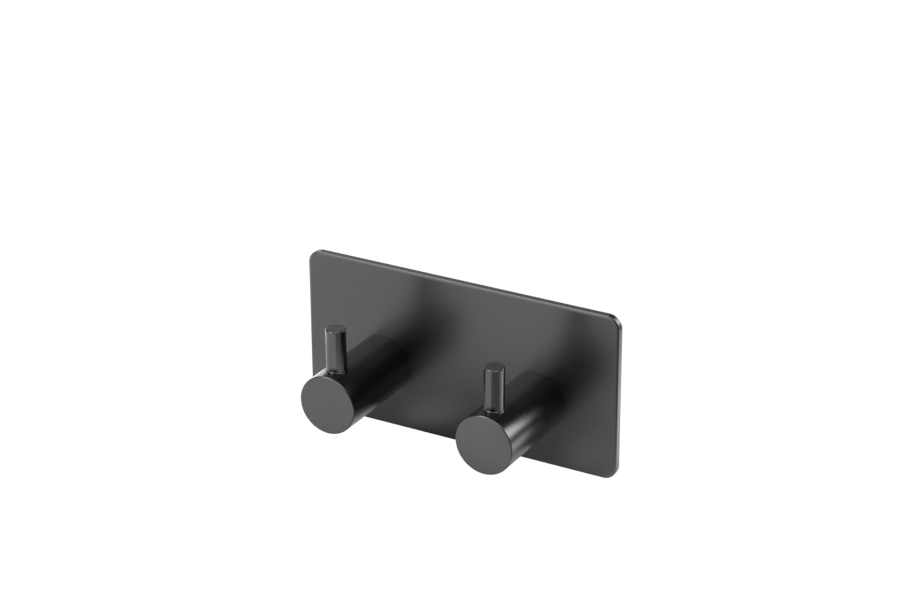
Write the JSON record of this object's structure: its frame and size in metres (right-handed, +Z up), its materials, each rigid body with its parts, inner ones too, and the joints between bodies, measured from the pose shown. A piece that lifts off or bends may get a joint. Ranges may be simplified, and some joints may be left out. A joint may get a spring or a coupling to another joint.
{
  "type": "double robe hook",
  "caption": "Flat rectangular wall plate with straight round posts, each with a small upright pin near its end that keeps a robe's or towel's loop from sliding off.",
  "frame": {"origin": "centre of the adhesive pad's back face, which lies on the wall", "axes": "+X along the plate to the right as seen from the room, +Y into the wall, +Z up; the posts stand out along -Y"},
  "size_m": [0.1, 0.0346, 0.05],
  "materials": {
    "gunmetal_plate": "satin gunmetal coating over a finely brushed sheet",
    "gunmetal_bar": "satin gunmetal coating over a turned bar",
    "gunmetal_pin": "satin gunmetal coating over a turned pin",
    "zinc_screw": "bright zinc plate",
    "foam_tape": "matt closed-cell foam with a satin adhesive film"
  },
  "bodies": {
    "root": {"back_plate": "gunmetal_plate", "left_post": "gunmetal_bar", "right_post": "gunmetal_bar", "left_pin": "gunmetal_pin", "right_pin": "gunmetal_pin", "left_post_screw": "zinc_screw", "right_post_screw": "zinc_screw", "adhesive_pad": "foam_tape"}
  },
  "joints": []
}
